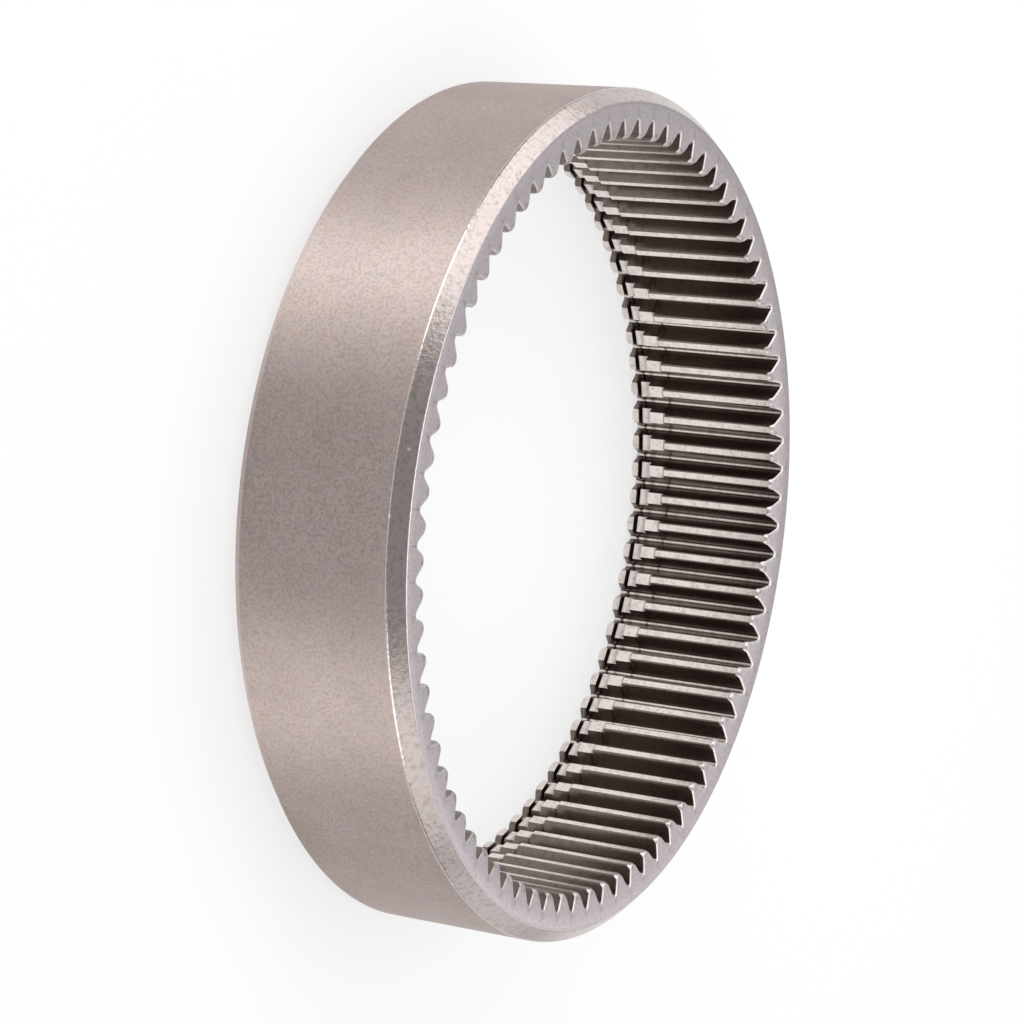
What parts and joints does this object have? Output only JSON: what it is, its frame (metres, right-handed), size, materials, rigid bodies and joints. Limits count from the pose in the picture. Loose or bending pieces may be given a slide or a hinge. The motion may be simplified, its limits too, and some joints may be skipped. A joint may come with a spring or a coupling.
{
  "type": "internal ring gear",
  "caption": "Steel internal ring gear with straight involute teeth, chamfered rim, and a stepped counterbore with a retaining ring groove at one end.",
  "frame": {"origin": "on the ring's axis, at the back face it rests on (the end with the ring groove)", "axes": "+Z along the axis, from the grooved back face to the chamfered tooth ends; +X through the middle of a tooth space"},
  "size_m": [0.13, 0.13, 0.0276],
  "materials": {
    "gear_steel": "satin tumbled steel with a fine grain"
  },
  "bodies": {
    "root": {"ring_gear": "gear_steel"}
  },
  "joints": []
}
